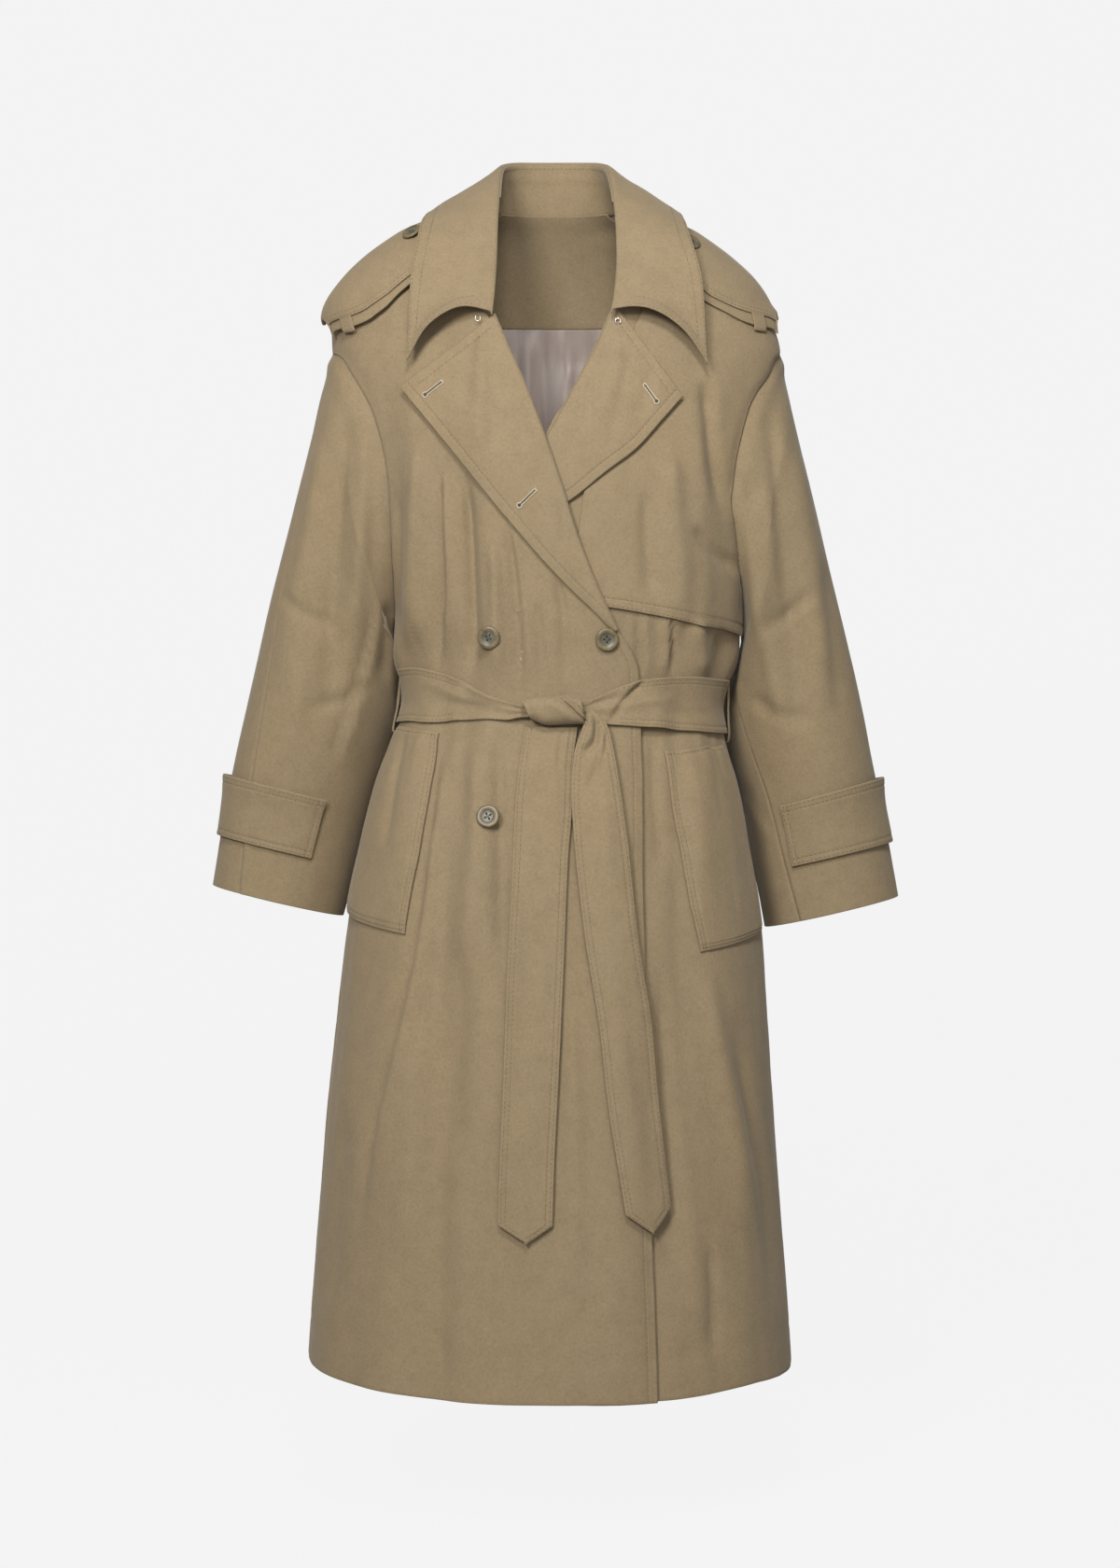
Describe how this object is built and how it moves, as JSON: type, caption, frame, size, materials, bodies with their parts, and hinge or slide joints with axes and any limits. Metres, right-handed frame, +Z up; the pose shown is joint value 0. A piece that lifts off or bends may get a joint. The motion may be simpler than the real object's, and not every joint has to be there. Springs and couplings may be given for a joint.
{
  "type": "trench coat",
  "caption": "Long double-breasted trench coat with a wide fold-down collar, lapels, epaulettes, a storm flap, slanted pocket welts, cuff straps and a tied belt, worn shape, hollow.",
  "frame": {"origin": "middle of the back neck seam, where the wearer's neck and shoulders hold the coat up", "axes": "+Z up along the wearer, -Y out of the front of the coat, +X to the wearer's left"},
  "size_m": [0.7068, 0.3802, 1.2438],
  "materials": {
    "gabardine": "matt tan cotton gabardine",
    "lining": "soft satin",
    "horn": "polished horn look",
    "metal": "bright"
  },
  "bodies": {
    "root": {"front_right": "gabardine", "front_left": "gabardine", "back": "gabardine", "back_facing": "gabardine", "lining_back": "lining", "lapel_right": "gabardine", "lapel_left": "gabardine", "gun_flap": "gabardine", "collar_fall": "gabardine", "collar_stand": "gabardine", "epaulette_right": "gabardine", "epaulette_left": "gabardine", "epaulette_keeper_right": "gabardine", "epaulette_keeper_left": "gabardine", "sleeve_right_front": "gabardine", "sleeve_right_back": "gabardine", "sleeve_left_front": "gabardine", "sleeve_left_back": "gabardine", "cuff_strap_right": "gabardine", "cuff_strap_left": "gabardine", "pocket_welt_right": "gabardine", "pocket_welt_left": "gabardine", "belt_band": "gabardine", "belt_loop_right": "gabardine", "belt_loop_left": "gabardine", "belt_knot": "gabardine", "belt_tail_a": "gabardine", "belt_tail_b": "gabardine", "button_front_1": "horn", "button_front_2": "horn", "button_front_3": "horn", "button_front_4": "horn", "epaulette_button_right": "horn", "epaulette_button_left": "horn", "collar_hook": "metal", "collar_eye": "metal"}
  },
  "joints": []
}
